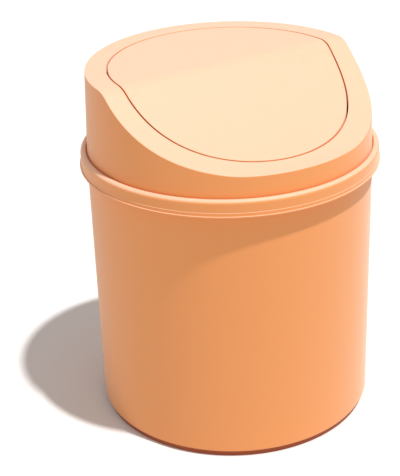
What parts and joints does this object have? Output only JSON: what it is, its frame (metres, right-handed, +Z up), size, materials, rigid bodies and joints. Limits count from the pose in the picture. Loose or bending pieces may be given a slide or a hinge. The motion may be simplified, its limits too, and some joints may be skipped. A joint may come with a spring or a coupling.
{
  "type": "countertop trash can with swing lid",
  "caption": "Round countertop trash can with a lift-off lid frame and a gravity-closing swing flap over a hollow sloping front.",
  "frame": {"origin": "centre of the foot ring on the surface that the can stands on", "axes": "+Z up along the can's axis, -Y towards the low front of the lid, +X along the flap's hinge line"},
  "size_m": [0.16, 0.16, 0.194],
  "materials": {
    "can_plastic": "fine matte moulded, orange peach",
    "lid_plastic": "fine matte moulded, orange peach",
    "flap_plastic": "fine matte moulded, orange peach"
  },
  "bodies": {
    "can": {"can_body": "can_plastic"},
    "lid": {"lid_frame": "lid_plastic"},
    "flap": {"swing_flap": "flap_plastic"}
  },
  "joints": [
    {"name": "lid_lift", "type": "slide", "parent": "can", "child": "lid", "axis": [0, 0, 1], "range_m": [0, 0.06]},
    {"name": "flap_swing", "type": "hinge", "parent": "lid", "child": "flap", "pos_m": [0, -0.0034, 0.1878], "axis": [1, 0, 0], "range_deg": [0, 80]}
  ]
}
